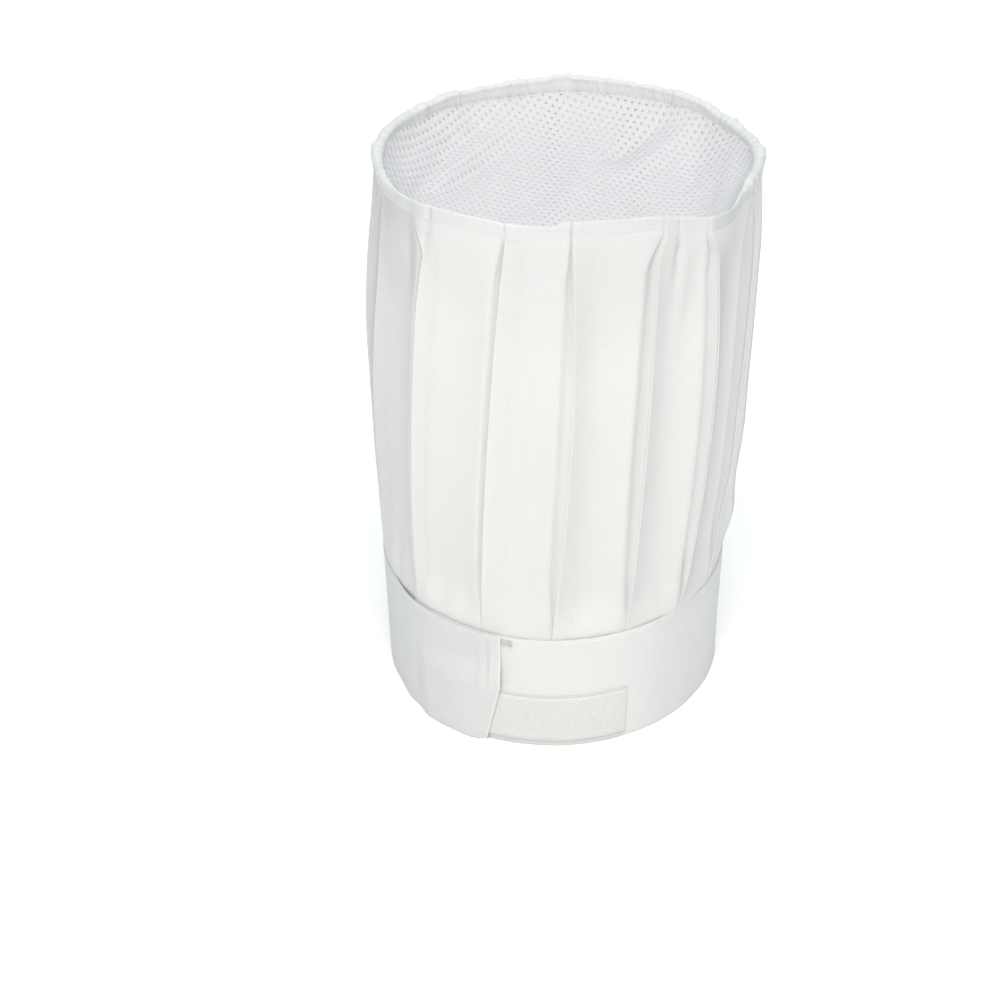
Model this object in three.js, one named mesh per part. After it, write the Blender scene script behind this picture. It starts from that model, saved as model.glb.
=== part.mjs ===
// A tall pleated chef hat: a stiff headband closed at the back with hook and loop tape,
// a crown of fifteen knife pleats, a padded hem round the top and a sagging net top.
//
// Millimetres, +Z up. The origin is on the surface that the hat stands on, under the
// middle of its outer box. The back of the hat, with the closure, faces -Y.
// An angle goes round the hat in degrees, from the back (-Y) towards +X.

import * as THREE from 'three';

// The gap that neighbouring pieces keep.
const GAP = 0.3;

// The headband is an oval hoop that narrows a little towards its lower edge.
const BAND_HEIGHT = 60;
const BAND_WALL = 1.2;
const BAND_TOP = { halfWidth: 83.5, halfDepth: 99.4 };
const BAND_FOOT = { halfWidth: 81.0, halfDepth: 96.5 };
const BAND_CENTRE_X = -4.7;

// The crown leans towards +X on its way up to a round rim.
const HAT_HEIGHT = 265;
const RIM_RADIUS = 91.1;
const RIM_LEAN = 7;
const LEAN_BEND = 1.2;
const CROWN_BULGE = 3.5;
const CROWN_WALL = 1.0;
const CROWN_TUCK_DEPTH = 8;
const CROWN_TUCK_INSET = BAND_WALL + GAP + 0.5;

// Each pleat folds the cloth into three layers.
const PLEAT_DEPTH = 10;
const TURN_WIDTH = 4.5;
const TURN_CLEARANCE = 1.0;
const LAYER_PITCH = { loose: 1.8, pressed: 1.35 };
const PANEL_BELLY = 0.9;

// The padded hem round the top.
const HEM_HEIGHT = 7;
const HEM_THICKNESS = 4.7;
const HEM_PUFF = 0.35;
const HEM_TAB = { from: 178.5, to: 185, rise: 1.5, swell: 0.7, edgeWidth: 0.5 };

// The net top hangs inside the hem.
const NET_WALL = 1.0;
const NET_EDGE_GAP = 0.65;
const NET_SAG = 30;
const NET_CURVE = 1.8;
const NET_RINGS = 9;
const NET_SECTORS = 48;

// The closure: the flap laps over the other end of the band.
const BAND_STEP = 4;
const UNDER_END = -52;
const FLAP_EDGE = -17;
const FLAP_SLANT = 5.3;
const FLAP_SLANT_HEIGHT = 32;
const FLAP_RISE = { from: -74, to: -56 };
const LOOP_TAPE = { from: -42, to: 25.3, foot: 2.5, width: 26, thickness: 0.9 };
const HOOK_TAPE = { from: -40, to: -25, foot: 3.5, width: 24, thickness: 0.8 };

// Where each pleat's folded edge runs: its angle at the band, half way up and at the rim.
const seenPleats = [
  { foot: -75.0, middle: -73.0, head: -71.0 },
  { foot: -49.5, middle: -48.4, head: -44.5 },
  { foot: -23.5, middle: -20.6, head: -17.5 },
  { foot: -0.3, middle: 3.7, head: 0.8 },
  { foot: 24.4, middle: 26.8, head: 26.0 },
  { foot: 45.0, middle: 50.6, head: 46.0 },
  { foot: 61.9, middle: 73.0, head: 66.0 },
];
const PLEAT_COUNT = 15;

// The crown from its foot, inside the band, to its head, under the hem: how far the cloth
// is drawn in from the crown's curve, and how far its layers are pressed together.
const crownLevels = [
  { height: BAND_HEIGHT - CROWN_TUCK_DEPTH, drawnIn: CROWN_TUCK_INSET, pressed: 1 },
  { height: BAND_HEIGHT + 1, drawnIn: CROWN_TUCK_INSET, pressed: 1 },
  { height: BAND_HEIGHT + 5, drawnIn: 0.4, pressed: 0.7 },
  { height: BAND_HEIGHT + 14, drawnIn: 0, pressed: 0.2 },
  { height: 100, drawnIn: 0, pressed: 0 },
  { height: 130, drawnIn: 0, pressed: 0 },
  { height: 162, drawnIn: 0, pressed: 0 },
  { height: 195, drawnIn: 0, pressed: 0 },
  { height: 226, drawnIn: 0, pressed: 0 },
  { height: 242, drawnIn: 0.5, pressed: 0.5 },
  { height: 251, drawnIn: 2.0, pressed: 1 },
  { height: HAT_HEIGHT - HEM_HEIGHT - 0.8, drawnIn: 1.2, pressed: 1 },
];

// The rim isn't quite level: how far it lifts, by angle.
const rimWave = [
  { angle: -160, lift: 0.4 },
  { angle: -125, lift: 0.0 },
  { angle: -108, lift: 0.8 },
  { angle: -64, lift: -0.6 },
  { angle: -50, lift: -0.2 },
  { angle: -37, lift: 1.2 },
  { angle: -24, lift: 1.8 },
  { angle: -18, lift: 0.6 },
  { angle: -4, lift: 1.2 },
  { angle: -1.5, lift: 2.7 },
  { angle: 8, lift: 3.0 },
  { angle: 19, lift: 2.8 },
  { angle: 25, lift: 2.2 },
  { angle: 33, lift: -0.8 },
  { angle: 45, lift: -4.4 },
  { angle: 53, lift: -4.4 },
  { angle: 60, lift: -1.5 },
  { angle: 69, lift: 0.3 },
  { angle: 90, lift: -1.4 },
  { angle: 112, lift: -2.8 },
  { angle: 134, lift: -1.4 },
  { angle: 150, lift: 0.5 },
  { angle: 180, lift: 1.2 },
];

// The soft folds of the net: where each runs, how wide it is and how far it stands up.
const netFolds = [
  { angle: 12, width: 11, lift: 2.4 },
  { angle: 48, width: 13, lift: 2.0 },
  { angle: 88, width: 12, lift: 2.6 },
  { angle: 128, width: 10, lift: 2.2 },
  { angle: 165, width: 12, lift: 1.8 },
  { angle: 205, width: 10, lift: 2.6 },
  { angle: 246, width: 13, lift: 2.2 },
  { angle: 285, width: 11, lift: 2.0 },
  { angle: 326, width: 12, lift: 2.4 },
];

// Colours, read off the cloth in even light.
const CLOTH_WHITE = 0xf1f1ee;
const BAND_WHITE = 0xeeefec;
const NET_GREY = 0xdcdfe3;
const TAPE_WHITE = 0xe8e8e4;

const radians = THREE.MathUtils.degToRad;
const degrees = THREE.MathUtils.radToDeg;
const { lerp, smoothstep, euclideanModulo } = THREE.MathUtils;

function evenly(from, to, step) {
  const count = Math.ceil((to - from) / step);
  return Array.from({ length: count + 1 }, (_, i) => lerp(from, to, i / count));
}

// A point on an upright oval at a height, moved out from it by some millimetres.
function ovalPoint(oval, angle, out, height) {
  return new THREE.Vector3(
    oval.centreX + (oval.halfWidth + out) * Math.sin(radians(angle)),
    -(oval.halfDepth + out) * Math.cos(radians(angle)),
    height,
  );
}

// The angle that a length covers on an oval, near some angle.
function angleOf(length, oval, angle) {
  const across = oval.halfWidth * Math.cos(radians(angle));
  const along = oval.halfDepth * Math.sin(radians(angle));
  return degrees(length / Math.hypot(across, along));
}

// The curve through three values at 0, a half and 1.
function throughThree(first, second, third, t) {
  const early = (1 - t) * (1 - 2 * t) * first;
  const middle = 4 * t * (1 - t) * second;
  const late = t * (2 * t - 1) * third;
  return early + middle + late;
}

function rimLift(angle) {
  const turned = euclideanModulo(angle + 180, 360) - 180;
  const rows = [{ ...rimWave.at(-1), angle: -180 }, ...rimWave];
  const next = Math.max(1, rows.findIndex((row) => row.angle >= turned));
  const before = rows[next - 1];
  const after = rows[next];
  const share = smoothstep(turned, before.angle, after.angle);
  return lerp(before.lift, after.lift, share);
}

// A closed solid between two faces of one cloth. Each face is a list of rows from low to
// high, and each row runs the way that angles do. A ring has no ends to close.
function clothSolid(outside, inside, isRing) {
  const rows = outside.length;
  const columns = outside[0].length;
  const spans = isRing ? columns : columns - 1;
  const points = [...outside.flat(), ...inside.flat()];
  const index = [];
  const outer = (row, column) => row * columns + (column % columns);
  const inner = (row, column) => rows * columns + outer(row, column);
  const quad = (a, b, c, d) => index.push(a, b, c, a, c, d);

  for (let row = 0; row < rows - 1; row++) {
    for (let column = 0; column < spans; column++) {
      const right = column + 1;
      const up = row + 1;
      quad(outer(row, column), outer(row, right), outer(up, right), outer(up, column));
      quad(inner(row, column), inner(up, column), inner(up, right), inner(row, right));
    }
  }
  const top = rows - 1;
  for (let column = 0; column < spans; column++) {
    const right = column + 1;
    quad(outer(0, column), inner(0, column), inner(0, right), outer(0, right));
    quad(outer(top, column), outer(top, right), inner(top, right), inner(top, column));
  }
  if (!isRing) {
    const last = columns - 1;
    for (let row = 0; row < top; row++) {
      const up = row + 1;
      quad(outer(row, 0), outer(up, 0), inner(up, 0), inner(row, 0));
      quad(outer(row, last), inner(row, last), inner(up, last), outer(up, last));
    }
  }

  const geometry = new THREE.BufferGeometry().setFromPoints(points);
  geometry.setIndex(index);
  geometry.computeVertexNormals();
  return geometry;
}

// Moves each point of a level loop sideways, to the right of the way it runs, and keeps
// the wall's thickness round the corners.
function shiftedLoop(loop, distance) {
  return loop.map((point, i) => {
    const before = loop.at(i - 1);
    const after = loop[(i + 1) % loop.length];
    const arriving = new THREE.Vector2(point.x - before.x, point.y - before.y).normalize();
    const leaving = new THREE.Vector2(after.x - point.x, after.y - point.y).normalize();
    const way = arriving.clone().add(leaving).normalize();
    const reach = distance / Math.max(0.5, way.dot(arriving));
    return new THREE.Vector3(point.x + way.y * reach, point.y - way.x * reach, point.z);
  });
}

// The band's outer face at a height.
function bandOval(height) {
  const t = height / BAND_HEIGHT;
  return {
    centreX: BAND_CENTRE_X,
    halfWidth: lerp(BAND_FOOT.halfWidth, BAND_TOP.halfWidth, t),
    halfDepth: lerp(BAND_FOOT.halfDepth, BAND_TOP.halfDepth, t),
  };
}

// The crown's outer face at a height.
function crownOval(height) {
  const t = Math.max(0, (height - BAND_HEIGHT) / (HAT_HEIGHT - BAND_HEIGHT));
  const bulge = CROWN_BULGE * 4 * t * (1 - t);
  const bend = LEAN_BEND * Math.sin(Math.PI * t);
  return {
    centreX: BAND_CENTRE_X + RIM_LEAN * t - bend,
    halfWidth: lerp(BAND_TOP.halfWidth, RIM_RADIUS, t) + bulge,
    halfDepth: lerp(BAND_TOP.halfDepth, RIM_RADIUS, t) + bulge,
  };
}

// The pleats on the far side carry on round at an even step.
function allPleats() {
  const first = seenPleats[0];
  const last = seenPleats.at(-1);
  const hiddenCount = PLEAT_COUNT - seenPleats.length;
  const hidden = Array.from({ length: hiddenCount }, (_, i) => {
    const share = (i + 1) / (hiddenCount + 1);
    const between = (part) => lerp(last[part], first[part] + 360, share);
    return { foot: between('foot'), middle: between('middle'), head: between('head') };
  });
  return [...seenPleats, ...hidden];
}

// One level of the crown: the middle line of the cloth, through all its pleats. A panel
// starts at its folded edge, runs on and turns in under the next edge, and the cloth then
// comes back between the two.
function crownLoop(level) {
  const t = Math.max(0, (level.height - BAND_HEIGHT) / (HAT_HEIGHT - BAND_HEIGHT));
  const oval = crownOval(level.height);
  const pitch = lerp(LAYER_PITCH.loose, LAYER_PITCH.pressed, level.pressed);
  const face = -level.drawnIn - CROWN_WALL / 2;
  const back = face - pitch;
  const deep = back - pitch;
  const belly = PANEL_BELLY * (1 - level.pressed);
  const riseShare = smoothstep(level.height, 200, HAT_HEIGHT - HEM_HEIGHT);
  const edges = allPleats().map((row) => throughThree(row.foot, row.middle, row.head, t));

  const loop = [];
  const add = (angle, out) => {
    const height = level.height + rimLift(angle) * riseShare;
    loop.push(ovalPoint(oval, angle, out, height));
  };
  edges.forEach((edge, i) => {
    const next = i + 1 < edges.length ? edges[i + 1] : edges[0] + 360;
    const degree = angleOf(1, oval, next);
    add(edge, back);
    add(edge, face - belly / 2);
    add(lerp(edge, next, 0.2), face);
    add(lerp(edge, next, 0.5), face);
    add(next - TURN_WIDTH * degree, face - belly / 2);
    add(next - TURN_CLEARANCE * degree, deep);
    add(next + PLEAT_DEPTH * degree, deep);
    add(next + PLEAT_DEPTH * degree, back);
  });
  return loop;
}

function crownGeometry() {
  const loops = crownLevels.map(crownLoop);
  const outside = loops.map((loop) => shiftedLoop(loop, CROWN_WALL / 2));
  const inside = loops.map((loop) => shiftedLoop(loop, -CROWN_WALL / 2));
  return clothSolid(outside, inside, true);
}

// The hem's section, from its seam up: how far each face is drawn in at each height.
const hemSection = [
  { height: 0, outer: 1.1, inner: 0.9 },
  { height: 1.6, outer: 0.1, inner: 0 },
  { height: 5.2, outer: 0, inner: 0 },
  { height: HEM_HEIGHT, outer: 1.3, inner: 1.2 },
];

function hemGeometry() {
  const seam = HAT_HEIGHT - HEM_HEIGHT;
  const rim = crownOval(HAT_HEIGHT);
  const tabEdges = [HEM_TAB.from, HEM_TAB.to];
  const tabAngles = tabEdges.flatMap((angle) => [angle - HEM_TAB.edgeWidth, angle]);
  const clearOfTab = (angle) => tabEdges.every((edge) => Math.abs(angle - edge) > 3 * HEM_TAB.edgeWidth);
  const angles = [...evenly(0, 355, 5).filter(clearOfTab), ...tabAngles].sort((a, b) => a - b);

  const rowOf = (side) => ({ height, outer, inner }) => angles.map((angle) => {
    const onTab = angle >= HEM_TAB.from && angle < HEM_TAB.to ? height / HEM_HEIGHT : 0;
    const gather = HEM_PUFF * Math.cos(radians(angle * PLEAT_COUNT));
    const out = side === 'outer'
      ? gather - HEM_PUFF - outer + HEM_TAB.swell * onTab
      : inner - HEM_THICKNESS - HEM_PUFF;
    const top = seam + height + rimLift(angle) + HEM_TAB.rise * onTab;
    return ovalPoint(rim, angle, out, top);
  });
  return clothSolid(hemSection.map(rowOf('outer')), hemSection.map(rowOf('inner')), true);
}

// A dish turned about its axis, and then lifted along each fold and along the rim's wave.
function netGeometry() {
  const edgeRadius = RIM_RADIUS - HEM_THICKNESS - HEM_PUFF - NET_EDGE_GAP;
  const edgeHeight = HAT_HEIGHT - HEM_HEIGHT + NET_WALL;
  const sagAt = (share) => edgeHeight - NET_SAG * (1 - share ** NET_CURVE);
  const under = evenly(0, 1, 1 / NET_RINGS)
    .map((share) => new THREE.Vector2(share * edgeRadius, sagAt(share) - NET_WALL));
  const over = evenly(0, 1, 1 / NET_RINGS)
    .map((share) => new THREE.Vector2(share * edgeRadius, sagAt(share)));
  const geometry = new THREE.LatheGeometry([...under, ...over.reverse()], NET_SECTORS);
  geometry.rotateX(Math.PI / 2);

  const place = geometry.getAttribute('position');
  for (let i = 0; i < place.count; i++) {
    const x = place.getX(i);
    const y = place.getY(i);
    const share = Math.hypot(x, y) / edgeRadius;
    const angle = degrees(Math.atan2(x, -y));
    const ridge = netFolds.reduce((sum, fold) => {
      const away = euclideanModulo(angle - fold.angle + 180, 360) - 180;
      return sum + fold.lift * Math.exp(-((away / fold.width) ** 2));
    }, 0);
    const folded = ridge * 4 * share ** 2 * (1 - share);
    place.setZ(i, place.getZ(i) + folded + rimLift(angle) * share ** 2);
  }
  geometry.translate(crownOval(HAT_HEIGHT).centreX, 0, 0);
  geometry.computeVertexNormals();
  return geometry;
}

// How far the flap's outer face stands off the band's own face. It clears the band's other
// end all the way up, and the two tapes lower down.
function flapStand(angle, height) {
  const tapesTop = LOOP_TAPE.foot + LOOP_TAPE.width;
  const overBand = GAP + BAND_WALL;
  const tapes = LOOP_TAPE.thickness + GAP + HOOK_TAPE.thickness + GAP;
  const lowShare = 1 - smoothstep(height, tapesTop + 1, tapesTop + 18);
  const liftOff = smoothstep(angle, FLAP_RISE.from, FLAP_RISE.to);
  const overTapes = smoothstep(angle, UNDER_END, LOOP_TAPE.from - 2);
  const pastHook = smoothstep(angle, HOOK_TAPE.to + 1, FLAP_EDGE);
  return overBand * liftOff + (tapes * overTapes - HOOK_TAPE.thickness * pastHook) * lowShare;
}

// The band starts under the flap, goes once round and ends as the flap.
function headbandGeometry() {
  const tapesTop = LOOP_TAPE.foot + LOOP_TAPE.width;
  const heights = [0, FLAP_SLANT_HEIGHT / 2, tapesTop + 1, 40, tapesTop + 18, BAND_HEIGHT];
  const angles = evenly(UNDER_END, FLAP_EDGE + 360, BAND_STEP);
  const faceRow = (depth) => (height) => angles.map((angle) => {
    const flapAngle = angle - 360;
    const stand = flapAngle > FLAP_RISE.from ? flapStand(flapAngle, height) : 0;
    const cutShare = Math.max(0, 1 - height / FLAP_SLANT_HEIGHT);
    const cut = FLAP_SLANT * cutShare * smoothstep(flapAngle, FLAP_EDGE - 16, FLAP_EDGE);
    return ovalPoint(bandOval(height), angle - cut, stand - depth, height);
  });
  return clothSolid(heights.map(faceRow(0)), heights.map(faceRow(BAND_WALL)), false);
}

// A flat tape on the band's outer face, lifted off it by some millimetres.
function tapeGeometry(tape, lift) {
  const angles = evenly(tape.from, tape.to, BAND_STEP);
  const heights = [tape.foot, tape.foot + tape.width];
  const faceRow = (out) => (height) => angles
    .map((angle) => ovalPoint(bandOval(height), angle, out, height));
  const outside = heights.map(faceRow(lift + tape.thickness));
  const inside = heights.map(faceRow(lift));
  return clothSolid(outside, inside, false);
}

function piece(name, geometry, color, roughness) {
  const material = new THREE.MeshStandardMaterial({ color, roughness, metalness: 0 });
  const mesh = new THREE.Mesh(geometry, material);
  mesh.name = name;
  return mesh;
}

const chefHat = new THREE.Group();
chefHat.add(piece('headband', headbandGeometry(), BAND_WHITE, 0.85));
chefHat.add(piece('crown', crownGeometry(), CLOTH_WHITE, 0.9));
chefHat.add(piece('rim_casing', hemGeometry(), CLOTH_WHITE, 0.9));
chefHat.add(piece('top_net', netGeometry(), NET_GREY, 0.8));
chefHat.add(piece('loop_tape', tapeGeometry(LOOP_TAPE, GAP), TAPE_WHITE, 0.95));
const hookLift = GAP + LOOP_TAPE.thickness + GAP;
chefHat.add(piece('hook_tape', tapeGeometry(HOOK_TAPE, hookLift), TAPE_WHITE, 0.8));

export default chefHat;
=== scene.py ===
# %% [markdown]
# A chef hat in cloth
#
# This file is a lesson in making sewn cloth out of formulas. The hat has a stiff
# headband that closes at the back, a tall crown of knife pleats, a padded hem round the
# top and a net that closes the top and sags. Each piece is a surface on a grid of two
# parameters, worked out with numpy as whole arrays.

import bpy
import numpy as np
from mathutils import Matrix, Vector


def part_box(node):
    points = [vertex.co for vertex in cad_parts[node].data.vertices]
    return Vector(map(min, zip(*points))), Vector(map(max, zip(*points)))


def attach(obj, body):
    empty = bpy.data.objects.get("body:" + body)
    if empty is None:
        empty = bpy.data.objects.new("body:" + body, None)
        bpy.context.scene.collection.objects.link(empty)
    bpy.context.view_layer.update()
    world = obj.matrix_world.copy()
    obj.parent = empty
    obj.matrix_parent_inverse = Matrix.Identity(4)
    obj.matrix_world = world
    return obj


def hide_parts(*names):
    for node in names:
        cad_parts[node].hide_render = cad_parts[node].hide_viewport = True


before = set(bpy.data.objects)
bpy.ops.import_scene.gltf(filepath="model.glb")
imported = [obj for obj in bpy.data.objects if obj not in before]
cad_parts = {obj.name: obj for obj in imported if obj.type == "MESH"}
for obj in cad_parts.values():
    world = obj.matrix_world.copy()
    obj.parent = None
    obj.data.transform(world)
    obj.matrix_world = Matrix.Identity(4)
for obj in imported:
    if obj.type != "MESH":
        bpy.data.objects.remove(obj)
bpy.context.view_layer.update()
MM = 0.001

# %% [markdown]
# The band's box in the frame gives its height and its depth. The other sizes are named
# here, in millimetres, as the frame was built with them. Both boxes are printed, so that
# these sizes can be compared with them.

# %% Read the sizes
band_low, band_high = (np.array(corner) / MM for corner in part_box("headband"))
rim_low, rim_high = (np.array(corner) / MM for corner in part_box("rim_casing"))

BAND_HEIGHT = band_high[2]
BAND_HALF_WIDTH = 83.5
BAND_HALF_DEPTH = (band_high[1] - band_low[1]) / 2
BAND_FOOT_SHARE = 0.971
BAND_CENTRE_X = -4.7

HAT_HEIGHT = 265.0
RIM_RADIUS = 91.1
RIM_LEAN = 7.0
LEAN_BEND = 1.2
CROWN_BULGE = 3.5
HEM_HEIGHT = 7.0

rng = np.random.default_rng(7)
print("band", band_low.round(1), band_high.round(1), "rim", rim_low.round(1), rim_high.round(1))

# %% [markdown]
# The camera stands behind the hat and a little above it, with the hat right of and above
# the middle of the picture. Its distance, a metre and a half, is assumed. It looks down at
# 27.5 degrees, chosen so that the rim comes out round and level. Its turn and its lens were
# then worked out from the outline of the hat.

# %% Place the camera
VIEW_DISTANCE = 1500 * MM
VIEW_DOWN = np.radians(27.5)
FOCAL_PIXELS = 3113.4
PICTURE_PIXELS = 1000
AIM_HEIGHT = 130 * MM
AIM_RIGHT_PIXELS = 52.9
AIM_UP_PIXELS = 91.2

aim = np.array([BAND_CENTRE_X * MM, 0, AIM_HEIGHT])
eye = aim + VIEW_DISTANCE * np.array([0, -np.cos(VIEW_DOWN), np.sin(VIEW_DOWN)])


def turned_camera():
    """The camera's right, up and back directions. It first looks at the aim point, then
    turns left and down until that point shows at its place in the picture."""
    ahead = (aim - eye) / VIEW_DISTANCE
    right = np.array([1.0, 0, 0])
    up = np.cross(right, ahead)
    across = np.arctan(AIM_RIGHT_PIXELS / FOCAL_PIXELS)
    right, ahead = (
        right * np.cos(across) + ahead * np.sin(across),
        ahead * np.cos(across) - right * np.sin(across),
    )
    down = np.arctan(AIM_UP_PIXELS / FOCAL_PIXELS)
    up, ahead = (
        up * np.cos(down) + ahead * np.sin(down),
        ahead * np.cos(down) - up * np.sin(down),
    )
    return np.stack([right, up, -ahead], axis=1)


camera_data = bpy.data.cameras.new("camera")
camera_data.sensor_width = 36
camera_data.lens = camera_data.sensor_width * FOCAL_PIXELS / PICTURE_PIXELS
camera_data.clip_end = 20
camera = bpy.data.objects.new("camera", camera_data)
bpy.context.collection.objects.link(camera)
pose = np.eye(4)
pose[:3, :3] = turned_camera()
pose[:3, 3] = eye
camera.matrix_world = Matrix(pose.tolist())
bpy.context.scene.camera = camera
print("camera at", eye.round(3))

# %% [markdown]
# The floor is pale and plain, and the light is soft. A wide warm light stands high behind
# the camera, a wider cool one hangs over the hat, and the world gives an even, slightly
# green light from all round. So the sides of the hat go a little grey and green while the
# middle stays warm white.

# %% Material helpers
def fill_inputs(material, node, inputs):
    """Sets a node's inputs. Each is a value, or another node's output to link it to."""
    for name, value in inputs.items():
        if isinstance(value, bpy.types.NodeSocket):
            material.node_tree.links.new(value, node.inputs[name])
        else:
            node.inputs[name].default_value = value


def new_material(name, inputs):
    """A material and its main shader, with the shader's inputs set."""
    material = bpy.data.materials.new(name)
    material.use_nodes = True
    shader = material.node_tree.nodes["Principled BSDF"]
    fill_inputs(material, shader, inputs)
    return material, shader


# %% Floor and light
floor_mesh = bpy.data.meshes.new("floor")
FLOOR_HALF = 6.0
corners = [(-FLOOR_HALF, -FLOOR_HALF, 0), (FLOOR_HALF, -FLOOR_HALF, 0)]
corners += [(FLOOR_HALF, FLOOR_HALF, 0), (-FLOOR_HALF, FLOOR_HALF, 0)]
floor_mesh.from_pydata(corners, [], [(0, 1, 2, 3)])
floor = bpy.data.objects.new("floor", floor_mesh)
bpy.context.collection.objects.link(floor)
floor_paper, _ = new_material("floor_paper", {
    "Base Color": (0.98, 0.955, 0.96, 1), "Roughness": 0.9,
})
floor_mesh.materials.append(floor_paper)


def soft_light(name, place, size, power, colour):
    """A square light that faces the middle of the hat."""
    data = bpy.data.lights.new(name, "AREA")
    data.energy = power
    data.size = size
    data.color = colour
    lamp = bpy.data.objects.new(name, data)
    bpy.context.collection.objects.link(lamp)
    lamp.location = place
    toward = np.array([0, 0, AIM_HEIGHT]) - np.array(place)
    lamp.rotation_euler = Vector(toward).to_track_quat("-Z", "Y").to_euler()


soft_light("high_light", (0.0, -1.7, 2.6), 2.4, 82.0, (1.0, 0.887, 0.881))
soft_light("top_light", (0.0, 0.0, 3.0), 3.2, 40.0, (0.86, 0.975, 1.0))

world = bpy.data.worlds.new("studio")
world.use_nodes = True
world.node_tree.nodes["Background"].inputs["Color"].default_value = (0.86, 1.0, 0.985, 1)
world.node_tree.nodes["Background"].inputs["Strength"].default_value = 0.54
bpy.context.scene.world = world
bpy.context.scene.view_settings.view_transform = "Standard"

# %% [markdown]
# Every surface here is a grid of points: rows one way, columns the other. One helper
# turns such a grid into a mesh. A grid may close on itself in either direction, as a hoop
# does. The second helper keeps a flat map of the cloth, in millimetres along and across
# the threads, so that a weave follows each fold.

# %% Grid helpers
def grid_quads(rows, columns, wrap_rows=False, wrap_columns=False):
    """The four corners of each cell of a grid, as point numbers, and the same corners
    counted as if nothing wrapped, for the flat map."""
    r, c = np.meshgrid(
        np.arange(rows if wrap_rows else rows - 1),
        np.arange(columns if wrap_columns else columns - 1),
        indexing="ij",
    )
    corner_rows = np.stack([r, r, r + 1, r + 1], axis=-1).reshape(-1, 4)
    corner_columns = np.stack([c, c + 1, c + 1, c], axis=-1).reshape(-1, 4)
    points = (corner_rows % rows) * columns + corner_columns % columns
    flat = corner_rows * (columns + 1) + corner_columns
    return points, flat


def build_mesh(name, points, quads, material, flat_map=None, painted_shade=None):
    """An object from points in millimetres and rows of corners, smooth shaded. flat_map holds the
    two cloth coordinates of each corner of each face, and the last argument gives for each point
    the painted shade: the share by which its colour is painted greyer, or lighter where the share
    is below nought."""
    points = np.asarray(points, float).reshape(-1, 3) * MM
    quads = np.asarray(quads)
    sides = quads.shape[1]
    mesh = bpy.data.meshes.new(name)
    mesh.vertices.add(len(points))
    mesh.vertices.foreach_set("co", points.ravel())
    mesh.loops.add(quads.size)
    mesh.loops.foreach_set("vertex_index", quads.ravel())
    mesh.polygons.add(len(quads))
    mesh.polygons.foreach_set("loop_start", np.arange(0, quads.size, sides))
    mesh.polygons.foreach_set("use_smooth", np.ones(len(quads), bool))
    if flat_map is not None:
        layer = mesh.uv_layers.new(name="cloth")
        layer.data.foreach_set("uv", np.asarray(flat_map, float).ravel())
    if painted_shade is not None:
        depth_layer = mesh.attributes.new("painted_shade", "FLOAT", "POINT")
        depth_layer.data.foreach_set("value", np.asarray(painted_shade, float).ravel())
    mesh.update(calc_edges=True)
    mesh.validate()
    mesh.materials.append(material)
    piece = bpy.data.objects.new(name, mesh)
    bpy.context.collection.objects.link(piece)
    print(name, len(points), "points", len(quads), "faces")
    return piece


def thicken(piece, thickness):
    """Gives a sheet its thickness, half to each side."""
    solid = piece.modifiers.new("thickness", "SOLIDIFY")
    solid.thickness = thickness * MM
    solid.offset = 0


def ease(value, low, high):
    """0 below low, 1 above high, and a smooth step between."""
    share = np.clip((value - low) / (high - low), 0, 1)
    return share * share * (3 - 2 * share)


def plateau(value, start, full, fade, end):
    """0 up to start, 1 from full to fade and 0 again past end, with smooth steps."""
    return ease(value, start, full) * (1 - ease(value, fade, end))


def hump(value, centre, width):
    """A smooth hump, 1 high, at centre."""
    return np.exp(-(((value - centre) / width) ** 2))


def grid_map(along, across):
    """The flat map of a grid of cloth, from its columns' and its rows' places."""
    return np.stack(np.meshgrid(along, across), axis=-1).reshape(-1, 2)


# %% [markdown]
# The cloth of the crown and band is a plain cotton weave with fine ribs across, the net is knitted,
# and the tape is a pile of loops. The cloth materials read the flat map of their piece, so their
# threads bend with the cloth; thread, yarn and pile take a fine noise in the piece's own space. The
# ribs are rows of small ridges a millimetre apart, broken by noise, and a slow noise varies the
# white a little.
# Shade is also painted into the cloth's colour: a per-point attribute makes the white greyer,
# toward a teal grey, in the folds and on shaded parts, and lighter where it is below nought.

# %% Cloth materials
def add_node(material, kind, inputs, **settings):
    """A shader node of a kind, with its settings and then its inputs."""
    node = material.node_tree.nodes.new("ShaderNode" + kind)
    for name, value in settings.items():
        setattr(node, name, value)
    fill_inputs(material, node, inputs)
    return node


def mix_colours(material, share, low, high):
    """A colour from low to high, by a share that another node gives."""
    inputs = {"A": (*low, 1), "B": (*high, 1), "Factor": share}
    return add_node(material, "Mix", inputs, data_type="RGBA").outputs["Result"]


def let_through(material, shader, through, share):
    """Mixes what a face sends back with what passes through it, by share, as the surface."""
    parts = {"Fac": share, 1: shader.outputs["BSDF"], 2: through.outputs["BSDF"]}
    both = add_node(material, "MixShader", parts)
    output = material.node_tree.nodes["Material Output"]
    fill_inputs(material, output, {"Surface": both.outputs["Shader"]})


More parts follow.
